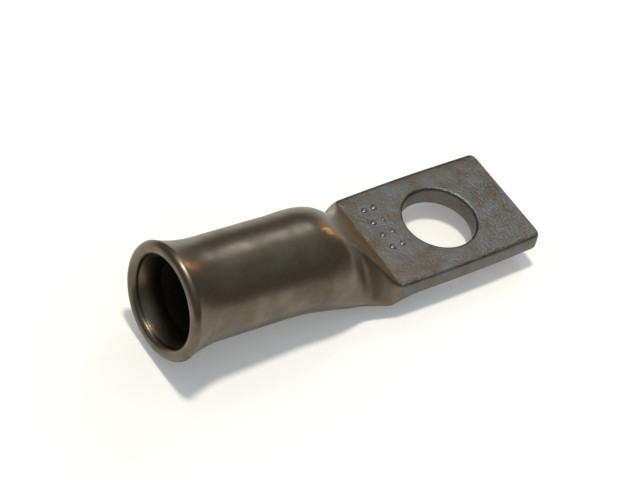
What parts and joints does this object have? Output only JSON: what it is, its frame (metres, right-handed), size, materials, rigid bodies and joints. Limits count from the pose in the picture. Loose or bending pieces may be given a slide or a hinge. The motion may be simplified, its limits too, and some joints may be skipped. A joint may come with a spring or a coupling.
{
  "type": "tubular cable lug",
  "caption": "One-piece tin-plated copper tube lug: bell-mouthed barrel for crimping onto a stranded cable, pressed flat into a palm with a clearance hole for a stud.",
  "frame": {"origin": "centre of the stud hole on the palm's underside", "axes": "+Z along the stud hole, out of the palm's top face; +X toward the palm's free end, so the barrel runs toward -X and rises by 4.3 degrees; +Y across the palm"},
  "size_m": [0.0466, 0.0138, 0.0134],
  "materials": {
    "tinned_copper": "tin-plated copper, satin, with a grained palm"
  },
  "bodies": {
    "root": {"cable_lug": "tinned_copper"}
  },
  "joints": []
}
